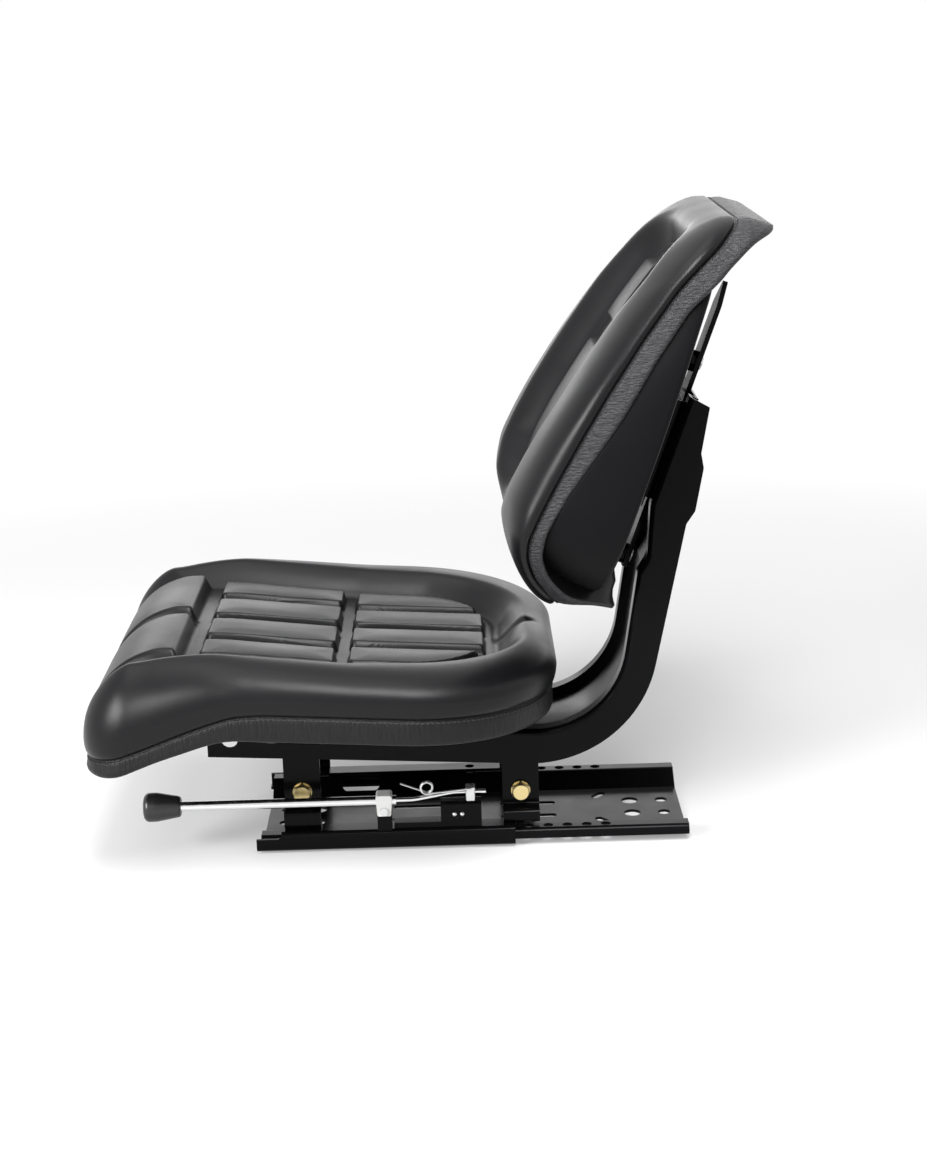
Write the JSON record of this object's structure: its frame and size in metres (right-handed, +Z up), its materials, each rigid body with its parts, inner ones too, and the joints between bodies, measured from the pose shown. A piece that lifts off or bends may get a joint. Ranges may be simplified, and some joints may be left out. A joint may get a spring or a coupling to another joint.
{
  "type": "tractor seat",
  "caption": "Padded operator seat for a small tractor on locking fore-and-aft slide rails, with a J-shaped pressed steel frame and a height-adjustable backrest.",
  "frame": {"origin": "middle of the base plate's underside, at the centre of its four outer mounting holes", "axes": "+Z up out of the base plate, -Y towards the front of the seat, +X towards the sitter's left"},
  "size_m": [0.454, 0.6757, 0.642],
  "materials": {
    "black_paint": "gloss",
    "cushion_cover": "satin",
    "shell_plastic": "matte",
    "yellow_zinc": "satin",
    "bright_zinc": "satin",
    "chromed_rod": "polished",
    "knob_plastic": "gloss",
    "white_plastic": "matte",
    "glide_plastic": "matte"
  },
  "bodies": {
    "base": {"base_plate": "black_paint"},
    "carriage": {"slide_rail_left": "black_paint", "slide_rail_right": "black_paint", "slide_glide_front_left": "glide_plastic", "slide_glide_front_right": "glide_plastic", "slide_glide_rear_left": "glide_plastic", "slide_glide_rear_right": "glide_plastic", "slide_bracket_front_left": "black_paint", "slide_bracket_front_right": "black_paint", "slide_bracket_rear_left": "black_paint", "slide_bracket_rear_right": "black_paint", "frame_lug_front_left": "black_paint", "frame_lug_front_right": "black_paint", "frame_lug_rear_left": "black_paint", "frame_lug_rear_right": "black_paint", "bracket_bolts": "yellow_zinc", "bracket_washers": "yellow_zinc", "bracket_nuts": "yellow_zinc", "seat_frame": "black_paint", "seat_pan": "black_paint", "seat_cushion": "cushion_cover", "cushion_bolts": "bright_zinc", "cushion_nuts": "bright_zinc", "clamp_plate": "black_paint", "clamp_bolts": "bright_zinc", "clamp_nuts": "bright_zinc", "lever_post": "black_paint", "lever_pivot_pin": "bright_zinc", "latch_housing": "black_paint", "latch_rivets": "bright_zinc", "latch_guide_bar": "black_paint"},
    "lever": {"lever_rod": "chromed_rod", "lever_knob": "knob_plastic", "lever_block": "white_plastic", "lever_spring": "bright_zinc"},
    "lock": {"lock_pin": "bright_zinc"},
    "back": {"back_cushion": "cushion_cover", "back_shell": "shell_plastic", "back_strap": "black_paint", "back_spacers": "black_paint", "back_bolts": "bright_zinc"}
  },
  "joints": [
    {"name": "seat_slide", "type": "slide", "parent": "base", "child": "carriage", "axis": [0, 1, 0], "range_m": [0, 0.12]},
    {"name": "lever_press", "type": "hinge", "parent": "carriage", "child": "lever", "pos_m": [0.097, -0.093, 0.047], "axis": [1, 0, 0], "range_deg": [0, 5], "stiffness_Nm_per_rad": 1.5, "springref_deg": -40.11},
    {"name": "lock_lift", "type": "slide", "parent": "carriage", "child": "lock", "axis": [0, 0, 1], "range_m": [0, 0.0078]},
    {"name": "back_height", "type": "slide", "parent": "carriage", "child": "back", "axis": [0, 0.342, 0.9397], "range_m": [0, 0.05]}
  ],
  "couplings": [
    {"joint": "lock_lift", "follows": "lever_press", "m_per_rad": 0.089}
  ]
}
